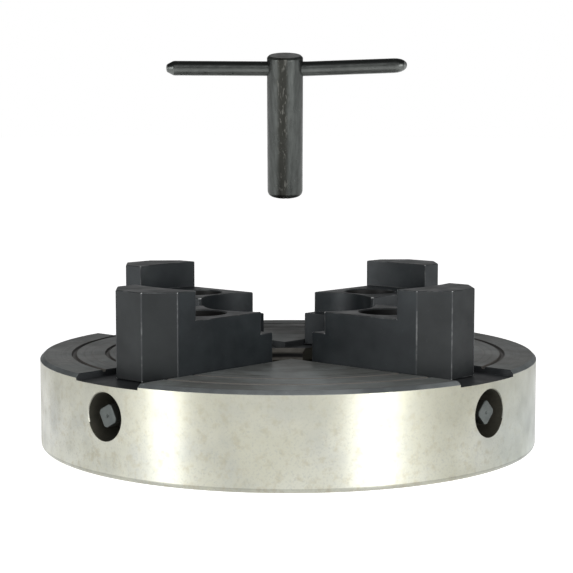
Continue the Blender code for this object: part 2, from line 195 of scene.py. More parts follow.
def make_object(name, verts, faces):
    mesh = bpy.data.meshes.new(name)
    mesh.from_pydata([Vector(v) * MM for v in verts], [], faces)
    mesh.validate()
    bm = bmesh.new()
    bm.from_mesh(mesh)
    bmesh.ops.recalc_face_normals(bm, faces=bm.faces)
    bm.to_mesh(mesh)
    bm.free()
    obj = bpy.data.objects.new(name, mesh)
    bpy.context.scene.collection.objects.link(obj)
    return obj


def box(name, low, high):
    xs, ys, zs = zip(low, high)
    verts = [(x, y, z) for z in zs for y in ys for x in xs]
    faces = [(0, 2, 3, 1), (4, 5, 7, 6), (0, 1, 5, 4), (2, 6, 7, 3), (0, 4, 6, 2), (1, 3, 7, 5)]
    return make_object(name, verts, faces)


def prism(name, outline, z_low, z_high):
    rings = [[(x, y, z) for x, y in outline] for z in (z_low, z_high)]
    return tube(name, rings)


def tube(name, rings):
    """Closed skin over a row of rings that have the same number of points."""
    count = len(rings[0])
    verts = [p for ring in rings for p in ring]
    faces = [tuple(range(count)), tuple(range(len(verts) - count, len(verts)))]
    for level in range(len(rings) - 1):
        for i in range(count):
            j = (i + 1) % count
            a, b = level * count, (level + 1) * count
            faces.append((a + i, a + j, b + j, b + i))
    return make_object(name, verts, faces)


def ring_of_revolution(name, profile, segments):
    """Solid swept about Z from a closed (radius, height) profile that stays off the axis."""
    verts = []
    faces = []
    count = len(profile)
    for step in range(segments):
        angle = 2 * math.pi * step / segments
        for radius, height in profile:
            verts.append((radius * math.cos(angle), radius * math.sin(angle), height))
        after = (step + 1) % segments
        for i in range(count):
            j = (i + 1) % count
            faces.append((step * count + i, after * count + i, after * count + j, step * count + j))
    return make_object(name, verts, faces)


def axial_ring(radius, height, segments, centre=(0.0, 0.0)):
    ring = []
    for i in range(segments):
        angle = 2 * math.pi * i / segments
        ring.append((centre[0] + radius * math.cos(angle), centre[1] + radius * math.sin(angle), height))
    return ring


def upright_tube(name, centre, steps, segments=48):
    """Round solid about a vertical line from (radius, height) steps."""
    return tube(name, [axial_ring(radius, height, segments, centre) for radius, height in steps])


def lengthwise_tube(name, steps, height, segments=64):
    """Round solid about a line along X from (x, radius) steps."""
    rings = []
    for x, radius in steps:
        rings.append([(x, y, height + z) for y, z, _ in axial_ring(radius, 0.0, segments)])
    return tube(name, rings)


def turn(obj, quarter_turns):
    obj.data.transform(Matrix.Rotation(quarter_turns * QUARTER, 4, "Z"))
    return obj


def apply_modifiers(obj):
    """Bake the modifiers into the mesh, so that the tools used can be removed."""
    graph = bpy.context.evaluated_depsgraph_get()
    graph.update()
    mesh = bpy.data.meshes.new_from_object(obj.evaluated_get(graph), depsgraph=graph)
    old = obj.data
    obj.modifiers.clear()
    obj.data = mesh
    mesh.name = obj.name
    bpy.data.meshes.remove(old)


def combine(target, tools, operation="DIFFERENCE"):
    for tool in tools:
        mod = target.modifiers.new(tool.name, "BOOLEAN")
        mod.operation = operation
        mod.solver = "EXACT"
        mod.object = tool
    apply_modifiers(target)
    for tool in tools:
        mesh = tool.data
        bpy.data.objects.remove(tool, do_unlink=True)
        bpy.data.meshes.remove(mesh)


def shade_round(obj, limit_degrees=32.0):
    bm = bmesh.new()
    bm.from_mesh(obj.data)
    bmesh.ops.remove_doubles(bm, verts=bm.verts, dist=1e-7)
    for face in bm.faces:
        face.smooth = True
    for edge in bm.edges:
        edge.smooth = edge.is_manifold and edge.calc_face_angle(0.0) < math.radians(limit_degrees)
    bm.to_mesh(obj.data)
    bm.free()
    mod = obj.modifiers.new("flat_faces_stay_flat", "WEIGHTED_NORMAL")
    mod.mode = "FACE_AREA"
    mod.weight = 100
    mod.keep_sharp = True
    apply_modifiers(obj)


def arc_points(radius, half_chord, corner, steps):
    """Hollow arc across the slot: both ends lie at corner, and the middle lies further out."""
    centre = corner - math.sqrt(radius ** 2 - half_chord ** 2)
    spread = math.asin(half_chord / radius)
    points = []
    for i in range(steps + 1):
        angle = spread - 2 * spread * i / steps
        points.append((centre + radius * math.cos(angle), radius * math.sin(angle)))
    return points


def set_materials(obj, materials, choose):
    """Give each face the material that choose names from its centre in millimetres and its normal."""
    obj.data.materials.clear()
    for mat in materials:
        obj.data.materials.append(mat)
    for poly in obj.data.polygons:
        poly.material_index = materials.index(choose(poly.center / MM, poly.normal))


# ---------------------------------------------------------------- materials

def scaled(colour, factor):
    return tuple(factor * part for part in colour)


class Nodes:
    """Short way to add and join shader nodes in one material."""

    def __init__(self, name, roughness, metallic, specular=0.5):
        self.mat = bpy.data.materials.new(name)
        self.mat.use_nodes = True
        self.tree = self.mat.node_tree
        self.shader = self.tree.nodes["Principled BSDF"]
        self.shader.inputs["Roughness"].default_value = roughness
        self.shader.inputs["Metallic"].default_value = metallic
        self.shader.inputs["Specular IOR Level"].default_value = specular
        self.coord = self.tree.nodes.new("ShaderNodeTexCoord").outputs["Object"]

    def join(self, value, socket):
        if isinstance(value, bpy.types.NodeSocket):
            self.tree.links.new(value, socket)
        else:
            socket.default_value = value

    def stretch(self, scale):
        node = self.tree.nodes.new("ShaderNodeMapping")
        node.inputs["Scale"].default_value = scale
        self.join(self.coord, node.inputs["Vector"])
        return node.outputs["Vector"]

    def noise(self, scale, detail=3.0, rough=0.55, vector=None, distortion=0.0):
        node = self.tree.nodes.new("ShaderNodeTexNoise")
        node.inputs["Scale"].default_value = scale
        node.inputs["Detail"].default_value = detail
        node.inputs["Roughness"].default_value = rough
        node.inputs["Distortion"].default_value = distortion
        self.join(vector or self.coord, node.inputs["Vector"])
        return node.outputs["Fac"]

    def rings(self, scale, distortion=0.0, detail=0.0):
        node = self.tree.nodes.new("ShaderNodeTexWave")
        node.wave_type = "RINGS"
        node.rings_direction = "Z"
        node.inputs["Scale"].default_value = scale
        node.inputs["Distortion"].default_value = distortion
        node.inputs["Detail"].default_value = detail
        self.join(self.coord, node.inputs["Vector"])
        return node.outputs["Fac"]

    def math(self, operation, a, b=0.0, clamp=False):
        node = self.tree.nodes.new("ShaderNodeMath")
        node.operation = operation
        node.use_clamp = clamp
        self.join(a, node.inputs[0])
        self.join(b, node.inputs[1])
        return node.outputs[0]

    def remap(self, value, low, high, to_low=0.0, to_high=1.0):
        node = self.tree.nodes.new("ShaderNodeMapRange")
        for index, item in enumerate((value, low, high, to_low, to_high)):
            self.join(item, node.inputs[index])
        return node.outputs["Result"]

    def mix(self, factor, a, b):
        node = self.tree.nodes.new("ShaderNodeMix")
        node.data_type = "RGBA"
        self.join(factor, node.inputs["Factor"])
        self.join(a if isinstance(a, bpy.types.NodeSocket) else (*a, 1.0), node.inputs["A"])
        self.join(b if isinstance(b, bpy.types.NodeSocket) else (*b, 1.0), node.inputs["B"])
        return node.outputs["Result"]

    def split(self):
        node = self.tree.nodes.new("ShaderNodeSeparateXYZ")
        self.join(self.coord, node.inputs[0])
        return node.outputs["X"], node.outputs["Y"], node.outputs["Z"]

    def radius(self):
        """Distance from the chuck's axis, in metres."""
        x, y, _ = self.split()
        squares = self.math("ADD", self.math("MULTIPLY", x, x), self.math("MULTIPLY", y, y))
        return self.math("SQRT", squares)

    def along(self, direction):
        """Distance along a level direction, in metres."""
        x, y, _ = self.split()
        x = self.math("MULTIPLY", x, direction[0])
        y = self.math("MULTIPLY", y, direction[1])
        return self.math("ADD", x, y)

    def facing_up(self):
        """1 on faces that look up, -1 on faces that look down."""
        normal = self.tree.nodes.new("ShaderNodeTexCoord").outputs["Normal"]
        parts = self.tree.nodes.new("ShaderNodeSeparateXYZ")
        self.join(normal, parts.inputs[0])
        return parts.outputs["Z"]

    def waver(self, scale, amount):
        """Noise between plus and minus half the amount."""
        return self.math("MULTIPLY", self.math("SUBTRACT", self.noise(scale), 0.5), amount)

    def painted_light(self):
        """Painted light: grows from 0 to 1 towards the camera's side."""
        place = self.remap(self.along(PAINTED_LIGHT_SIDE), -0.06, 0.075)
        place = self.math("ADD", place, self.math("MULTIPLY", self.noise(14.0), 0.5))
        return self.remap(place, 0.3, 1.2)

    def ring_noise(self, scale, detail=2.0):
        """Noise that changes only with the distance from the chuck's axis."""
        node = self.tree.nodes.new("ShaderNodeCombineXYZ")
        self.join(self.radius(), node.inputs["X"])
        return self.noise(scale, detail, 0.6, node.outputs["Vector"])

    def bump(self, height, distance, strength=1.0):
        node = self.tree.nodes.new("ShaderNodeBump")
        node.inputs["Strength"].default_value = strength
        node.inputs["Distance"].default_value = distance
        self.join(height, node.inputs["Height"])
        self.join(node.outputs["Normal"], self.shader.inputs["Normal"])

    def set(self, name, value):
        self.join(value, self.shader.inputs[name])

    def turned(self, amount):
        """Spread the gloss across the tool marks that run round the chuck's axis."""
        node = self.tree.nodes.new("ShaderNodeTangent")
        node.direction_type = "RADIAL"
        node.axis = "Z"
        self.join(node.outputs["Tangent"], self.shader.inputs["Tangent"])
        self.shader.inputs["Anisotropic"].default_value = amount
        self.shader.inputs["Anisotropic Rotation"].default_value = 0.25


def bright_rim(name="bright_rim", shade=1.0):
    """Bright turned steel: stains and blotches, painted shade that darkens the flank towards the camera's
    right, and darker and yellower near the face.
    """
    n = Nodes(name, 0.38, 1.0)
    n.turned(0.78)
    warm = scaled((0.520, 0.518, 0.432), shade)
    pale = scaled((0.585, 0.590, 0.528), shade)
    colour = n.mix(n.remap(n.noise(22.0, 4.0, 0.6), 0.38, 0.62), warm, pale)
    cloud = n.remap(n.noise(60.0, 4.0, 0.6), 0.50, 0.72, 0.0, 0.55)
    colour = n.mix(cloud, colour, scaled((0.410, 0.425, 0.412), shade))
    blotch = n.remap(n.noise(420.0, 3.0, 0.6), 0.52, 0.70, 0.0, 0.60)
    colour = n.mix(blotch, colour, scaled((0.430, 0.400, 0.300), shade))
    mottle = n.remap(n.noise(1500.0, 2.0, 0.6), 0.52, 0.74, 0.0, 0.50)
    colour = n.mix(mottle, colour, scaled((0.36, 0.37, 0.36), shade))
    # Painted shade: the rim darkens on its flank towards the camera's right
    aside = n.math("ADD", n.along(PAINTED_SHADE_SIDE), n.math("MULTIPLY", n.noise(45.0, 4.0, 0.6), 0.012))
    dull = n.remap(aside, 0.062, 0.082, 0.0, 0.75)
    colour = n.mix(dull, colour, scaled((0.400, 0.440, 0.415), shade))
    _, _, height = n.split()
    near_face = n.remap(height, 0.012, 0.028, 0.0, 0.5)
    colour = n.mix(near_face, colour, scaled((0.450, 0.442, 0.350), shade))
    n.set("Base Color", colour)
    n.set("Roughness", n.remap(n.noise(130.0, 3.0), 0.3, 0.7, 0.34, 0.46))
    lines = n.noise(1.0, 2.0, 0.5, n.stretch((40.0, 40.0, 3200.0)))
    pits = n.noise(700.0, 2.0)
    n.bump(n.math("ADD", n.math("MULTIPLY", lines, 0.6), n.math("MULTIPLY", pits, 0.4)), 0.000006, 0.5)
    return n.mat


def turned_black(name, base, sheen, roughness):
    """Blackened turned face: fine rings, bluish bloom, scuffs towards the outer edge, and painted light
    that brightens it towards the camera's side.
    """
    n = Nodes(name, roughness, 0.25, 0.4)
    n.turned(0.6)
    bloom = n.noise(38.0, 4.0, 0.6, distortion=0.6)
    # Painted light: the face's base and bloom colours brighten towards the camera's side
    painted_light = n.painted_light()
    base = n.mix(painted_light, base, scaled(base, 3.1))
    sheen = n.mix(painted_light, sheen, scaled(sheen, 2.5))
    colour = n.mix(n.remap(bloom, 0.42, 0.68), base, sheen)
    tracks = n.remap(n.ring_noise(420.0), 0.52, 0.66, 0.0, 0.45)
    colour = n.mix(tracks, colour, (0.045, 0.038, 0.033))
    scratches = n.remap(n.ring_noise(1100.0), 0.56, 0.66)
    scratches = n.math("MULTIPLY", scratches, n.remap(n.noise(42.0), 0.50, 0.62, 0.0, 0.55))
    colour = n.mix(scratches, colour, (0.40, 0.39, 0.36))
    outward = n.remap(n.radius(), 0.060, 0.079, 0.08, 0.83)
    scuffs = n.math("MULTIPLY", n.remap(n.noise(260.0, 5.0, 0.7), 0.58, 0.72), outward)
    colour = n.mix(scuffs, colour, (0.34, 0.35, 0.34))
    n.set("Base Color", colour)
    n.set("Roughness", n.remap(n.noise(90.0, 4.0, 0.6), 0.3, 0.7, roughness - 0.08, roughness + 0.08))
    rings = n.rings(900.0, 0.3, 1.0)
    grain = n.noise(1400.0, 2.0)
    n.bump(n.math("ADD", n.math("MULTIPLY", rings, 0.7), n.math("MULTIPLY", grain, 0.3)), 0.000002, 0.5)
    return n.mat


def plain_black(name, base, light, roughness):
    """Blackened steel with soft blotches and a fine grain."""
    n = Nodes(name, roughness, 0.3)
    blotch = n.noise(55.0, 4.0, 0.6)
    colour = n.mix(n.remap(blotch, 0.38, 0.66), base, light)
    fleck = n.noise(600.0, 3.0, 0.65)
    colour = n.mix(n.remap(fleck, 0.66, 0.78, 0.0, 0.4), colour, scaled(light, 2.2))
    n.set("Base Color", colour)
    n.set("Roughness", n.remap(n.noise(160.0, 3.0), 0.3, 0.7, roughness - 0.07, roughness + 0.09))
    n.bump(n.noise(900.0, 3.0), 0.000006, 0.45)
    return n.mat


def bore_black():
    """Bore wall: a paler band near the face, a near-black line under it, and darker below."""
    n = Nodes("bore_black", 0.40, 0.3)
    _, _, height = n.split()
    depth = n.math("SUBTRACT", BODY_HEIGHT * MM, height)
    tone = n.remap(n.noise(160.0, 4.0), 0.35, 0.65)
    band = n.mix(tone, (0.085, 0.080, 0.070), (0.150, 0.143, 0.128))
    dark = n.mix(tone, (0.030, 0.031, 0.030), (0.065, 0.066, 0.062))
    colour = n.mix(n.remap(depth, 0.0030, 0.0038), band, (0.004, 0.004, 0.004))
    colour = n.mix(n.remap(depth, 0.0046, 0.0052), colour, band)
    n.set("Base Color", n.mix(n.remap(depth, 0.0060, 0.0068), colour, dark))
    n.bump(n.noise(1100.0), 0.000006, 0.4)
    return n.mat


def groove_black():
    """Floor of the turned grooves: near black, and browner and paler towards the camera's side, which is
    painted light.
    """
    n = Nodes("groove_black", 0.5, 0.2, 0.4)
    dark = n.mix(n.remap(n.noise(300.0), 0.35, 0.65), (0.008, 0.008, 0.009), (0.018, 0.018, 0.019))
    # Painted light: the groove floors turn paler and browner towards the camera's side
    n.set("Base Color", n.mix(n.painted_light(), dark, (0.140, 0.130, 0.118)))
    n.bump(n.noise(900.0), 0.000004, 0.4)
    return n.mat


def worn_edge(name, low, high, bare):
    """Jaw edges where the blacking has rubbed through in places; with a low threshold, as on the bevel
    corners, it is mostly bare and is a painted glint as well.
    """
    n = Nodes(name, 0.40, 0.35)
    patch = n.noise(170.0, 4.0, 0.65)
    n.set("Base Color", n.mix(n.remap(patch, low, high), (0.024, 0.027, 0.029), bare))
    n.set("Roughness", n.remap(n.noise(400.0), 0.3, 0.7, 0.34, 0.50))
    n.bump(n.noise(1200.0), 0.000006, 0.4)
    return n.mat


def key_barrel_black():
    """Blackened barrel with a painted dark reflection band, and pale streaks inside it, down the side that
    the photo shows.
    """
    n = Nodes("key_black", 0.32, 0.9)
    streak = n.noise(1.0, 4.0, 0.6, n.stretch((900.0, 900.0, 90.0)))
    colour = n.mix(n.remap(streak, 0.36, 0.64), (0.054, 0.058, 0.055), (0.082, 0.088, 0.084))
    # Painted reflection: a dark band down the barrel on the camera's right, with pale streaks inside it
    across = n.math("ADD", n.along(PAINTED_SHADE_SIDE), KEY_REFLECTION_BAND_SHIFT)
    across = n.math("ADD", across, n.waver(240.0, KEY_REFLECTION_BAND_WAVER))
    reflection_band = n.remap(n.math("ABSOLUTE", across), *KEY_REFLECTION_BAND_EDGE, 1.0, 0.0)
    colour = n.mix(n.math("MULTIPLY", reflection_band, 0.85), colour, (0.026, 0.026, 0.022))
    pale_streaks = n.noise(1.0, 3.0, 0.6, n.stretch((1500.0, 1500.0, 260.0)))
    pale_streaks = n.math("MULTIPLY", reflection_band, n.remap(pale_streaks, 0.56, 0.66, 0.0, 0.6))
    colour = n.mix(pale_streaks, colour, (0.17, 0.17, 0.155))
    n.set("Base Color", colour)
    n.set("Roughness", n.remap(n.noise(400.0), 0.3, 0.7, 0.26, 0.38))
    n.bump(n.noise(1100.0), 0.000006, 0.4)
    return n.mat


def key_bar_black():
    """Blackened bar, dark on top and paler underneath as in the photo: painted shade on top and a painted
    reflection underneath.
    """
    n = Nodes("key_bar_black", 0.32, 0.7)
    # Painted shade on the upper side and painted reflection of the floor on the underside
    up = n.math("ADD", n.facing_up(), n.waver(350.0, 0.5))
    pale = n.mix(n.remap(n.noise(160.0), 0.4, 0.6), (0.130, 0.138, 0.131), (0.165, 0.175, 0.166))
    n.set("Base Color", n.mix(n.remap(up, -0.85, 0.35), pale, (0.015, 0.017, 0.016)))
    n.set("Roughness", n.remap(n.noise(400.0), 0.3, 0.7, 0.26, 0.38))
    n.bump(n.noise(1100.0), 0.000006, 0.4)
    return n.mat


def turned_steel(name, dark, light, roughness):
    """Bare turned steel with rings about the chuck's axis."""
    n = Nodes(name, roughness, 1.0)
    n.turned(0.8)
    tone = n.noise(45.0, 4.0, 0.6)
    n.set("Base Color", n.mix(n.remap(tone, 0.35, 0.65), dark, light))
    n.set("Roughness", n.remap(n.noise(120.0), 0.3, 0.7, roughness - 0.06, roughness + 0.08))
    n.bump(n.rings(500.0, 0.4, 1.0), 0.00003, 0.5)
    return n.mat


def dull_steel(name, dark, light, roughness, metallic=0.8):
    """Bare steel gone dull, in uneven tones."""
    n = Nodes(name, roughness, metallic)
    tone = n.noise(260.0, 4.0, 0.6)
    n.set("Base Color", n.mix(n.remap(tone, 0.35, 0.65), dark, light))
    n.set("Roughness", n.remap(n.noise(500.0), 0.3, 0.7, roughness - 0.06, roughness + 0.08))
    n.bump(n.noise(1500.0, 2.0), 0.00002, 0.4)
    return n.mat


RIM = bright_rim()
# A darker copy of the rim material for the rounded bottom edge: painted shade
RIM_FOOT_SHADED = bright_rim("rim_foot_painted_shade", 0.70)
FACE = turned_black("turned_black", (0.056, 0.058, 0.055), (0.114, 0.124, 0.124), 0.46)
EDGE = plain_black("blued_chamfer", (0.095, 0.104, 0.106), (0.170, 0.184, 0.186), 0.36)
SLOT = plain_black("slot_black", (0.026, 0.028, 0.030), (0.050, 0.055, 0.058), 0.45)
GROOVE = groove_black()
HOLE = plain_black("hole_black", (0.040, 0.039, 0.030), (0.088, 0.083, 0.066), 0.42)
BORE = bore_black()
BACK = turned_steel("turned_back", (0.36, 0.36, 0.33), (0.48, 0.48, 0.44), 0.36)
JAW = plain_black("jaw_black", (0.0112, 0.0145, 0.0168), (0.0230, 0.0285, 0.0315), 0.42)
# A darker copy of the jaw material for the outer end faces: painted shade
JAW_OUTER_SHADED = plain_black("jaw_outer_painted_shade", (0.0050, 0.0068, 0.0076), (0.0118, 0.0148, 0.0158), 0.47)
JAW_WORN = worn_edge("worn_edge", 0.50, 0.78, (0.150, 0.156, 0.156))
# Bevel corners: worn blacking, and a painted glint in the bright bare colour
JAW_CORNER_WEAR_AND_GLINT = worn_edge("corner_wear_and_glint", 0.10, 0.42, (0.42, 0.43, 0.43))
WELL = plain_black("well_black", (0.005, 0.005, 0.005), (0.012, 0.012, 0.011), 0.5)
SCREW = dull_steel("screw_steel", (0.056, 0.065, 0.063), (0.088, 0.100, 0.096), 0.46, 0.35)
SCREW_SIDE = plain_black("screw_black", (0.028, 0.028, 0.024), (0.060, 0.060, 0.052), 0.40)
THREAD = dull_steel("thread_steel", (0.09, 0.09, 0.085), (0.20, 0.20, 0.19), 0.38)
BLOCK = dull_steel("block_steel", (0.10, 0.10, 0.10), (0.19, 0.19, 0.18), 0.45)
PIN = dull_steel("pin_steel", (0.36, 0.36, 0.34), (0.50, 0.50, 0.48), 0.32)
KEY = key_barrel_black()
KEY_BAR = key_bar_black()
KEY_TIP = dull_steel("key_tip_steel", (0.14, 0.15, 0.145), (0.30, 0.31, 0.30), 0.40)
BODY_MATERIALS = (RIM, FACE, EDGE, SLOT, GROOVE, HOLE, BORE, BACK, RIM_FOOT_SHADED)
JAW_MATERIALS = (JAW, JAW_WORN, WELL, JAW_CORNER_WEAR_AND_GLINT, JAW_OUTER_SHADED)
SCREW_MATERIALS = (SCREW, SCREW_SIDE, THREAD)


# ---------------------------------------------------------------- chuck body

def body_profile():
    """Closed (radius, height) outline, from the recess in the back round the rim to the bore."""
    top = BODY_HEIGHT
    slot_floor = top - SLOT_DEPTH
    points = [
        (BORE_RADIUS + BACK_EDGE, RECESS_DEPTH),
        (RECESS_RADIUS - RECESS_EDGE, RECESS_DEPTH),
        (RECESS_RADIUS, RECESS_DEPTH - RECESS_EDGE),
        (RECESS_RADIUS, BACK_EDGE),
        (RECESS_RADIUS + BACK_EDGE, 0.0),
    ]
    for i in range(FOOT_ARC_STEPS + 1):
        angle = QUARTER * i / FOOT_ARC_STEPS
        inset = BOTTOM_CHAMFER * (1 - math.sin(angle))
        rise = BOTTOM_CHAMFER * (1 - math.cos(angle))
        points.append((BODY_RADIUS - inset, rise))
    points += [
        (BODY_RADIUS, top - TOP_CHAMFER - 0.10),
        (BODY_RADIUS - 0.05, top - TOP_CHAMFER + 0.04),
        (BODY_RADIUS - TOP_CHAMFER + 0.04, top - 0.05),
        (BODY_RADIUS - TOP_CHAMFER - 0.10, top),
    ]
    for radius, width, depth in MAIN_GROOVES:
        points += [
            (radius + width / 2 + GROOVE_LIP, top),
            (radius + width / 2, top - GROOVE_LIP_DEPTH),
            (radius + 0.34 * width, top - depth + GROOVE_FLOOR_STEP),
            (radius + 0.22 * width, top - depth),
            (radius - 0.22 * width, top - depth),
            (radius - 0.34 * width, top - depth + GROOVE_FLOOR_STEP),
            (radius - width / 2, top - GROOVE_LIP_DEPTH),
            (radius - width / 2 - GROOVE_LIP, top),
        ]
    for radius, width, depth in FINE_GROOVES:
        points += [
            (radius + width / 2, top),
            (radius, top - depth),
            (radius - width / 2, top),
        ]
    points += [
        (BORE_RADIUS + BORE_CHAMFER, top),
        (BORE_RADIUS + BORE_CHAMFER, slot_floor),
        (BORE_RADIUS, slot_floor - BORE_CHAMFER),
        (BORE_RADIUS, RECESS_DEPTH + BACK_EDGE),
    ]
    return points


def slot_tool(k):
    """Slot with a small flare that breaks its edges at the face."""
    half = SLOT_WIDTH / 2
    floor = BODY_HEIGHT - SLOT_DEPTH
    lip = BODY_HEIGHT - SLOT_EDGE
    reach = BODY_RADIUS + OVERRUN
    flare = SLOT_EDGE + OVERRUN
    section = [(-half, floor), (half, floor), (half, lip), (half + flare, lip + flare)]
    section += [(-half - flare, lip + flare), (-half, lip)]
    rings = [[(x, y, z) for y, z in section] for x in (-reach, reach)]
    return turn(tube(f"slot_tool_{k}", rings), k)


def pin_centre():
    return (BLOCK_START + BLOCK_THICKNESS / 2, BLOCK_WIDTH / 2 + GAP / 2)


def pin_hole_tool(name):
    top = BLOCK_FOOT + PIN_LENGTH + GAP
    return upright_tube(name, pin_centre(), ((PIN_RADIUS + GAP, -OVERRUN), (PIN_RADIUS + GAP, top)), 32)


def body_material(centre, normal):
    radius = math.hypot(centre.x, centre.y)
    top = BODY_HEIGHT
    across = min(abs(centre.x), abs(centre.y))
    if normal.z < -0.9 and centre.z < RECESS_DEPTH + 0.1:
        return BACK
    if radius > BODY_RADIUS - BOTTOM_CHAMFER and centre.z < top - TOP_CHAMFER and normal.z < 0.3:
        outward = (centre.x * normal.x + centre.y * normal.y) / radius
        # Painted shade: the rounded bottom edge takes the darker copy of the rim material
        if centre.z < BOTTOM_CHAMFER:
            return RIM_FOOT_SHADED
        if outward > 0.2:
            return RIM
    if radius > BODY_RADIUS - TOP_CHAMFER - 0.05 and centre.z > top - TOP_CHAMFER - 0.05 and normal.z > 0.2:
        return EDGE
    if centre.z > top - 0.02 and normal.z > 0.9:
        return FACE
    if centre.z > top - 0.9 and radius > 25.0:
        for groove_radius, width, _ in MAIN_GROOVES:
            if abs(radius - groove_radius) < width / 2 + 0.2 and across > SLOT_WIDTH / 2 - 0.2:
                return GROOVE
        if across > SLOT_WIDTH / 2 + 0.5:
            return FACE
    if centre.z > top - SLOT_DEPTH - 0.05 and radius > BORE_RADIUS + 0.5:
        return SLOT
    if radius < BORE_RADIUS + BORE_CHAMFER + 0.1 and centre.z > RECESS_DEPTH:
        return BORE
    if centre.z < RECESS_DEPTH + 0.1:
        return BACK
    return HOLE


def build_body():
    body = ring_of_revolution("chuck_body_turned", body_profile(), BODY_SEGMENTS)
    top = BODY_HEIGHT + OVERRUN
    reach = BODY_RADIUS + OVERRUN
    tools = []
    for k in range(2):
        half = NECK_WIDTH / 2
        neck = box(f"neck_tool_{k}", (-CHANNEL_END, -half, SCREW_AXIS_HEIGHT), (CHANNEL_END, half, top))
        half = GROOVE_WIDTH / 2
        groove = box(
            f"groove_tool_{k}",
            (-CHANNEL_END, -half, BODY_HEIGHT - GROOVE_BOTTOM),
            (CHANNEL_END, half, BODY_HEIGHT - GROOVE_TOP),
        )
        edge_width, edge_depth = HOLE_EDGE
        narrow = SCREW_HOLE_RADIUS
        wide = narrow + edge_width
        steps = ((-reach, wide + OVERRUN), (-BODY_RADIUS, wide), (-BODY_RADIUS + edge_depth, narrow))
        steps += ((BODY_RADIUS - edge_depth, narrow), (BODY_RADIUS, wide), (reach, wide + OVERRUN))
        hole = lengthwise_tube(f"screw_hole_tool_{k}", steps, SCREW_AXIS_HEIGHT, 72)
        tools += [slot_tool(k), turn(neck, k), turn(groove, k), turn(hole, k)]
    for k in range(4):
        half = BLOCK_WIDTH / 2 + GAP
        pocket = box(
            f"block_pocket_tool_{k}",
            (BLOCK_START - GAP, -half, -OVERRUN),
            (BLOCK_START + BLOCK_THICKNESS + GAP, half, SCREW_AXIS_HEIGHT + BLOCK_ABOVE_AXIS + GAP),
        )
        point_radius, point_depth = TAPPED_POINT
        steps = ((TAPPED_HOLE_RADIUS + TAPPED_EDGE + OVERRUN, -OVERRUN), (TAPPED_HOLE_RADIUS, TAPPED_EDGE))
        steps += ((TAPPED_HOLE_RADIUS, TAPPED_HOLE_DEPTH), (point_radius, TAPPED_HOLE_DEPTH + point_depth))
        tapped = upright_tube(f"tapped_hole_tool_{k}", (TAPPED_HOLE_CIRCLE, 0.0), steps, 40)
        tools += [turn(pocket, k), turn(pin_hole_tool(f"pin_hole_tool_{k}"), k), turn(tapped, k + 0.5)]
    combine(body, tools)
    set_materials(body, BODY_MATERIALS, body_material)
    shade_round(body)
    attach(body, "chuck")
    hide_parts("chuck_body")


# ---------------------------------------------------------------- jaws and screws

def thread_ring(x, crest, root, crest_half):
    """One section of a left-hand thread: the radius at each angle follows the helix."""
    ring = []
    for i in range(THREAD_SEGMENTS):
        angle = 2 * math.pi * i / THREAD_SEGMENTS
        along = (x / THREAD_PITCH + angle / (2 * math.pi)) % 1.0
        offset = abs(along - 0.5) * THREAD_PITCH
        blend = min(max((crest_half + THREAD_FLANK - offset) / THREAD_FLANK, 0.0), 1.0)
        radius = root + (crest - root) * blend
        ring.append((x, radius * math.cos(angle), SCREW_AXIS_HEIGHT + radius * math.sin(angle)))
    return ring


def half_nut_tool(k):
    """Screw with clearance all round, longer than the jaw's foot, that cuts the foot's half nut."""
    step = THREAD_PITCH / THREAD_STEPS_PER_TURN
    count = math.ceil((FOOT_OUTER - FOOT_INNER + 6 * OVERRUN) / step)
    crest = THREAD_CREST + NUT_CLEARANCE
    root = THREAD_ROOT + NUT_CLEARANCE
    rings = []
    for i in range(count):
        x = FOOT_INNER - 2 * OVERRUN + i * step
        rings.append(thread_ring(x, crest, root, THREAD_CREST_HALF + NUT_CLEARANCE))
    return turn(tube(f"half_nut_tool_{k}", rings), k)


def jaw_upper(k):
    """Jaw above the slot floor, with its two steps cut."""
    face = BODY_HEIGHT
    half = JAW_WIDTH / 2
    shift = JAW_REST_OUTWARD[k]
    toe_radius = (half ** 2 + JAW_TOE_HOLLOW ** 2) / (2 * JAW_TOE_HOLLOW)
    outline = [
        (JAW_SHOULDER, half),
        *arc_points(toe_radius, half, JAW_TOE, 16),
        (JAW_SHOULDER, -half),
        (JAW_END, JAW_END_BEVEL - half),
        (JAW_END, half - JAW_END_BEVEL),
    ]
    outline = [(u + shift, v) for u, v in outline]
    jaw = prism(f"jaw_{k + 1}_ground", outline, face - SLOT_DEPTH + GAP, face + JAW_TOP_HEIGHT)

    wide = half + OVERRUN
    inner = JAW_TOE - 4 * OVERRUN + shift
    drop = math.sqrt(JAW_GRIP_RADIUS ** 2 - half ** 2)
    corner = JAW_GRIP - drop + math.sqrt(JAW_GRIP_RADIUS ** 2 - wide ** 2)
    grip = [(u + shift, v) for u, v in arc_points(JAW_GRIP_RADIUS, wide, corner, 20)]
    top = face + JAW_TOP_HEIGHT + OVERRUN
    step = prism(f"step_tool_{k}", [(inner, wide), *grip, (inner, -wide)], face + JAW_STEP_HEIGHT, top)
    flat = half - JAW_NOSE_BEVEL
    side = JAW_NOSE + JAW_NOSE_BEVEL + OVERRUN
    nose = [(side, wide), *arc_points(JAW_NOSE_RADIUS, flat, JAW_NOSE, 16), (side, -wide)]
    nose = [(u + shift, v) for u, v in nose]
    ledge = prism(f"ledge_tool_{k}", [(inner, wide), *nose, (inner, -wide)], face + JAW_LEDGE_HEIGHT, top)
    combine(jaw, (step, ledge))
    return jaw


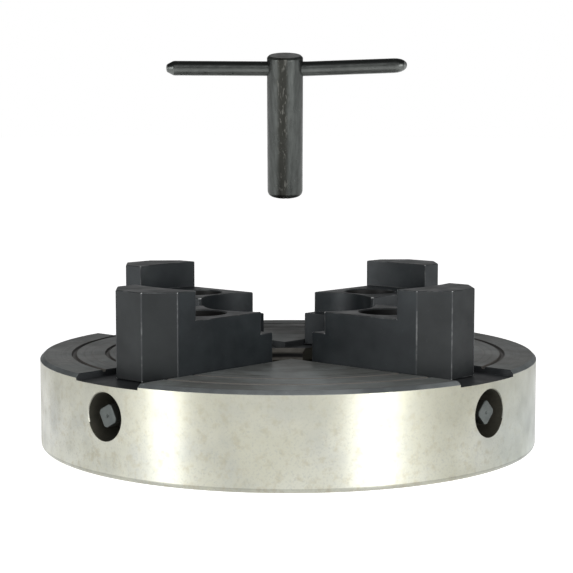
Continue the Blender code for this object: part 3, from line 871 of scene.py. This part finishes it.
def wear_edges(jaw):
    """Round the edges of a jaw that points along X, give its worn edges their material, its bevel corners a
    paler one that is worn blacking and a painted glint, and its outer faces a darker copy of the jaw
    material as painted shade.
    """
    for mat in JAW_MATERIALS:
        jaw.data.materials.append(mat)
    plain, worn, _, corner, outer = range(len(JAW_MATERIALS))
    bevel = jaw.modifiers.new("worn_edges", "BEVEL")
    bevel.width = JAW_EDGE * MM
    bevel.segments = 3
    bevel.limit_method = "ANGLE"
    bevel.angle_limit = math.radians(35.0)
    bevel.material = worn
    bevel.harden_normals = False
    apply_modifiers(jaw)
    for poly in jaw.data.polygons:
        # The smallest bevel faces, the corners, get the worn and painted glint material
        if poly.material_index == worn and poly.area < CORNER_AREA * MM ** 2:
            poly.material_index = corner
        # Painted shade: faces that look out along the jaw get the darker copy of the jaw material
        if poly.material_index == plain and poly.normal.x > 0.5:
            poly.material_index = outer


def well_tool(k):
    top = BODY_HEIGHT + JAW_STEP_HEIGHT
    steps = (
        (WELL_RADIUS, top - WELL_DEPTH),
        (WELL_RADIUS, top - WELL_RIM),
        (WELL_RADIUS + 0.5 * WELL_RIM, top - 0.42 * WELL_RIM),
        (WELL_RADIUS + WELL_RIM, top),
        (WELL_RADIUS + WELL_RIM, top + OVERRUN),
    )
    well = upright_tube(f"well_tool_{k}", (WELL_CENTRE + JAW_REST_OUTWARD[k], 0.0), steps, 64)
    set_materials(well, JAW_MATERIALS, lambda centre, _: JAW_WORN if centre.z > top - WELL_RIM else WELL)
    return turn(well, k)


def jaw_foot(k):
    """Stem and flanges below the jaw; the stem runs up into it."""
    face = BODY_HEIGHT
    shift = JAW_REST_OUTWARD[k]
    stem, flange = STEM_WIDTH / 2, FLANGE_WIDTH / 2
    section = [
        (stem, face - SLOT_DEPTH + GAP + 2 * OVERRUN),
        (stem, face - FLANGE_TOP),
        (flange, face - FLANGE_TOP),
        (flange, face - FLANGE_BOTTOM),
    ]
    section += [(-y, z) for y, z in reversed(section)]
    rings = [[(x + shift, y, z) for y, z in section] for x in (FOOT_INNER, FOOT_OUTER)]
    return turn(tube(f"foot_{k}", rings), k)


def build_jaw(k):
    jaw = jaw_upper(k)
    wear_edges(jaw)
    well = well_tool(k)
    foot = jaw_foot(k)
    turn(jaw, k)
    combine(jaw, (foot,), "UNION")
    combine(jaw, (well, half_nut_tool(k)))
    shade_round(jaw)
    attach(jaw, f"jaw_body_{k + 1}")
    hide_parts(f"jaw_{k + 1}")


def square_radius(angle):
    """Radius of the screw's square at an angle, with its corners turned off."""
    flat = SQUARE_SIDE / 2 / max(abs(math.cos(angle)), abs(math.sin(angle)))
    return min(flat, SQUARE_CORNER * SQUARE_SIDE / math.sqrt(2))


def build_screw(k):
    count = THREAD_SEGMENTS
    tilt = math.radians(SQUARE_ANGLES[k])

    def round_ring(x, radius):
        ring = axial_ring(radius, 0.0, count)
        return [(x, y, SCREW_AXIS_HEIGHT + z) for y, z, _ in ring]

    def square_ring(x, shrink):
        ring = []
        for i in range(count):
            angle = 2 * math.pi * i / count
            radius = square_radius(angle) - shrink
            y = radius * math.cos(angle + tilt)
            z = SCREW_AXIS_HEIGHT + radius * math.sin(angle + tilt)
            ring.append((x, y, z))
        shift = round(tilt / (2 * math.pi) * count)
        return ring[-shift:] + ring[:-shift] if shift else ring

    start = THREAD_START + 0.5
    rings = [round_ring(THREAD_START, THREAD_ROOT - 0.6), round_ring(start, THREAD_ROOT)]
    step = THREAD_PITCH / THREAD_STEPS_PER_TURN
    for i in range(1, int((THREAD_END - start - step) / step) + 1):
        rings.append(thread_ring(start + i * step, THREAD_CREST, THREAD_ROOT, THREAD_CREST_HALF))
    rings += [
        round_ring(THREAD_END - 0.2, THREAD_CREST),
        round_ring(THREAD_END, THREAD_CREST),
        round_ring(THREAD_END, NECK_RADIUS),
        round_ring(COLLAR_START, NECK_RADIUS),
        round_ring(COLLAR_START, COLLAR_RADIUS - 0.4),
        round_ring(COLLAR_START + 0.4, COLLAR_RADIUS),
        round_ring(COLLAR_END - 0.5, COLLAR_RADIUS),
        round_ring(COLLAR_END - 0.15, COLLAR_RADIUS - 0.15),
        round_ring(COLLAR_END, COLLAR_RADIUS - 0.5),
        square_ring(COLLAR_END, 0.0),
        square_ring(SQUARE_END - 0.35, 0.0),
        square_ring(SQUARE_END - 0.1, 0.1),
        square_ring(SQUARE_END, 0.35),
        round_ring(SQUARE_END, CENTRE_DRILL_RADIUS),
        round_ring(SQUARE_END - CENTRE_DRILL_RADIUS, 0.1),
    ]
    screw = turn(tube(f"jaw_screw_{k + 1}_cut", rings), k)
    direction = Vector((1.0, 0.0, 0.0))
    direction.rotate(Matrix.Rotation(k * QUARTER, 3, "Z"))

    def choose(centre, normal):
        along = centre.dot(direction)
        if along > SQUARE_END - 0.3:
            return SCREW
        return SCREW_SIDE if along > COLLAR_START - 0.5 else THREAD

    set_materials(screw, SCREW_MATERIALS, choose)
    shade_round(screw)
    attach(screw, f"screw_body_{k + 1}")
    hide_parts(f"jaw_screw_{k + 1}")


# ---------------------------------------------------------------- key

def key_frame():
    turned = Matrix.Rotation(math.radians(KEY_BAR_ANGLE), 4, "Z")
    leaned = Matrix.Rotation(math.radians(KEY_TILT), 4, "X")
    middle = turned @ Vector((KEY_SHIFT, 0.0, 0.0))
    middle.z = BODY_HEIGHT + KEY_HEIGHT_OVER_FACE
    return Matrix.Translation(middle * MM) @ turned @ leaned


def bar_rise(x):
    """The bar is bent upwards on both sides of a point just outside the barrel."""
    left, right = (math.tan(math.radians(slope)) for slope in BAR_SLOPES)
    return (BAR_BEND - x) * left if x < BAR_BEND else (x - BAR_BEND) * right


def build_barrel():
    half = BARREL_LENGTH / 2
    steps = (
        (BARREL_RADIUS - 1.15, -half),
        (BARREL_RADIUS - 0.80, -half + 0.08),
        (BARREL_RADIUS - 0.36, -half + 0.45),
        (BARREL_RADIUS - 0.12, -half + 0.95),
        (BARREL_RADIUS, -half + 1.60),
        (BARREL_RADIUS, half - 0.85),
        (BARREL_RADIUS - 0.10, half - 0.60),
        (BARREL_RADIUS - 0.60, half - 0.10),
        (BARREL_RADIUS - 0.85, half),
    )
    barrel = upright_tube("key_barrel_turned", (0.0, 0.0), steps, 96)
    side = SOCKET_SIDE / 2
    mouth = side + SOCKET_FLARE + OVERRUN
    levels = ((mouth, -half - OVERRUN), (side, -half + SOCKET_FLARE), (side, -half + SOCKET_DEPTH))
    rings = [[(x * s, y * s, z) for x, y in ((1, 1), (-1, 1), (-1, -1), (1, -1))] for s, z in levels]
    socket = tube("socket_tool", rings)
    socket.data.transform(Matrix.Rotation(math.radians(SOCKET_TURN), 4, "Z"))
    reach = BARREL_RADIUS + OVERRUN
    radius = BAR_RADIUS + BAR_HOLE_GAP
    cross = lengthwise_tube("bar_hole_tool", ((-reach, radius), (reach, radius)), half - BAR_BELOW_TOP, 64)
    combine(barrel, (socket, cross))

    def choose(centre, normal):
        inside = math.hypot(centre.x, centre.y) < BARREL_RADIUS - 1.6
        return HOLE if inside and centre.z < half - 1.0 else KEY

    set_materials(barrel, (KEY, HOLE), choose)
    shade_round(barrel)
    return barrel


def build_bar():
    """Bar with a conical left end and a rounded right end."""
    left, right = BAR_HALF_LENGTHS
    # Stations along the bar: x, and share of the full radius
    stations = (
        (-left, 0.30),
        (-left + 0.12, 0.44),
        (-left + 0.35, 0.56),
        (-left + 2.2, 0.97),
        (-left + 2.7, 1.0),
        (BAR_BEND - 1.0, 1.0),
        (BAR_BEND + 1.0, 1.0),
        (right - 4.2, 1.0),
        (right - 3.0, 0.97),
        (right - 1.8, 0.86),
        (right - 0.9, 0.68),
        (right - 0.3, 0.46),
        (right, 0.24),
    )
    rings = []
    for x, share in stations:
        rise = BARREL_LENGTH / 2 - BAR_BELOW_TOP + bar_rise(x)
        rings.append([(x, y, rise + z) for y, z, _ in axial_ring(BAR_RADIUS * share, 0.0, 48)])
    bar = tube("key_bar_turned", rings)

    def choose(centre, normal):
        return KEY_TIP if centre.x < -left + 0.9 or centre.x > right - 1.3 else KEY_BAR

    set_materials(bar, (KEY_BAR, KEY_TIP), choose)
    shade_round(bar)
    return bar


def build_key():
    for obj, node in ((build_barrel(), "key_barrel"), (build_bar(), "key_bar")):
        obj.data.transform(key_frame())
        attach(obj, "key")
        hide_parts(node)


# ---------------------------------------------------------------- stage

def around(azimuth, distance, height):
    """Point round the chuck; azimuth counts from the camera, positive to its right."""
    angle = math.radians(CAMERA_AZIMUTH + azimuth)
    return Vector((distance * math.cos(angle), distance * math.sin(angle), height))


def aim(obj, target):
    obj.rotation_euler = (Vector(target) - obj.location).to_track_quat("-Z", "Y").to_euler()


def softbox(name, azimuth, height, size, power):
    data = bpy.data.lights.new(name, "AREA")
    data.shape = "RECTANGLE"
    data.size, data.size_y = size
    data.energy = power
    obj = bpy.data.objects.new(name, data)
    bpy.context.scene.collection.objects.link(obj)
    obj.location = around(azimuth, LIGHT_DISTANCE, height)
    aim(obj, LIGHT_TARGET)


def build_stage():
    mesh = bpy.data.meshes.new("floor")
    half = FLOOR_HALF
    corners = [(-half, -half, 0), (half, -half, 0), (half, half, 0), (-half, half, 0)]
    mesh.from_pydata(corners, [], [(0, 1, 2, 3)])
    floor = bpy.data.objects.new("floor", mesh)
    bpy.context.scene.collection.objects.link(floor)
    n = Nodes("floor_paper", 0.9, 0.0, 0.0)
    n.set("Base Color", n.mix(n.noise(3.0), (0.80, 0.80, 0.80), (0.82, 0.82, 0.82)))
    n.shader.inputs["Emission Color"].default_value = (1.0, 1.0, 1.0, 1.0)
    n.shader.inputs["Emission Strength"].default_value = FLOOR_GLOW
    mesh.materials.append(n.mat)
    build_world()
    for settings in SOFTBOXES:
        softbox(*settings)


def build_world():
    """White behind the object, and a room that is dimmer overhead and in its far corners."""
    world = bpy.data.worlds.new("studio")
    world.use_nodes = True
    tree = world.node_tree
    out = tree.nodes["World Output"]
    room = tree.nodes["Background"]
    white = tree.nodes.new("ShaderNodeBackground")
    for background in (room, white):
        background.inputs["Color"].default_value = (1.0, 1.0, 1.0, 1.0)
    white.inputs["Strength"].default_value = 1.0
    path = tree.nodes.new("ShaderNodeLightPath")
    blend = tree.nodes.new("ShaderNodeMixShader")
    split = tree.nodes.new("ShaderNodeSeparateXYZ")
    coord = tree.nodes.new("ShaderNodeTexCoord")

    def math_node(operation, a, b):
        node = tree.nodes.new("ShaderNodeMath")
        node.operation = operation
        for item, socket in ((a, node.inputs[0]), (b, node.inputs[1])):
            if isinstance(item, bpy.types.NodeSocket):
                tree.links.new(item, socket)
            else:
                socket.default_value = item
        return node.outputs[0]

    def component(direction):
        along_x = math_node("MULTIPLY", split.outputs["X"], direction.x)
        along_y = math_node("MULTIPLY", split.outputs["Y"], direction.y)
        return math_node("ADD", along_x, along_y)

    beyond = math_node("MAXIMUM", component(around(180.0, 1.0, 0.0)), 0.0)
    aside = math_node("ABSOLUTE", component(around(90.0, 1.0, 0.0)), 0.0)
    corners = math_node("MULTIPLY", math_node("MULTIPLY", beyond, aside), 2.0)
    fade = tree.nodes.new("ShaderNodeMapRange")
    fade.inputs["From Min"].default_value = 0.0
    fade.inputs["From Max"].default_value = ROOM_TOP
    fade.inputs["To Min"].default_value = ROOM_LOW
    fade.inputs["To Max"].default_value = ROOM_HIGH
    tree.links.new(coord.outputs["Generated"], split.inputs[0])
    tree.links.new(split.outputs["Z"], fade.inputs["Value"])
    keep = math_node("SUBTRACT", 1.0, corners)
    tree.links.new(math_node("MULTIPLY", fade.outputs["Result"], keep), room.inputs["Strength"])
    tree.links.new(path.outputs["Is Camera Ray"], blend.inputs["Fac"])
    tree.links.new(room.outputs[0], blend.inputs[1])
    tree.links.new(white.outputs[0], blend.inputs[2])
    tree.links.new(blend.outputs[0], out.inputs["Surface"])
    bpy.context.scene.world = world


def build_camera():
    data = bpy.data.cameras.new("camera")
    data.lens = CAMERA_LENS
    data.sensor_width = 36.0
    data.clip_start = 0.01
    camera = bpy.data.objects.new("camera", data)
    bpy.context.scene.collection.objects.link(camera)
    elevation = math.radians(CAMERA_ELEVATION)
    flat = CAMERA_DISTANCE * math.cos(elevation)
    height = BODY_HEIGHT * MM + CAMERA_DISTANCE * math.sin(elevation)
    camera.location = around(0.0, flat, height)
    target = around(90.0, CAMERA_AIM_SIDE, CAMERA_AIM_HEIGHT)
    aim(camera, target)
    bpy.context.scene.camera = camera


build_camera()
build_stage()
build_body()
for index in range(4):
    build_jaw(index)
    build_screw(index)
    for node, mat in ((f"thrust_block_{index + 1}", BLOCK), (f"block_pin_{index + 1}", PIN)):
        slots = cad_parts[node].data.materials
        slots.clear()
        slots.append(mat)
build_key()

scene = bpy.context.scene
scene.view_settings.view_transform = "Standard"
scene.view_settings.look = "None"
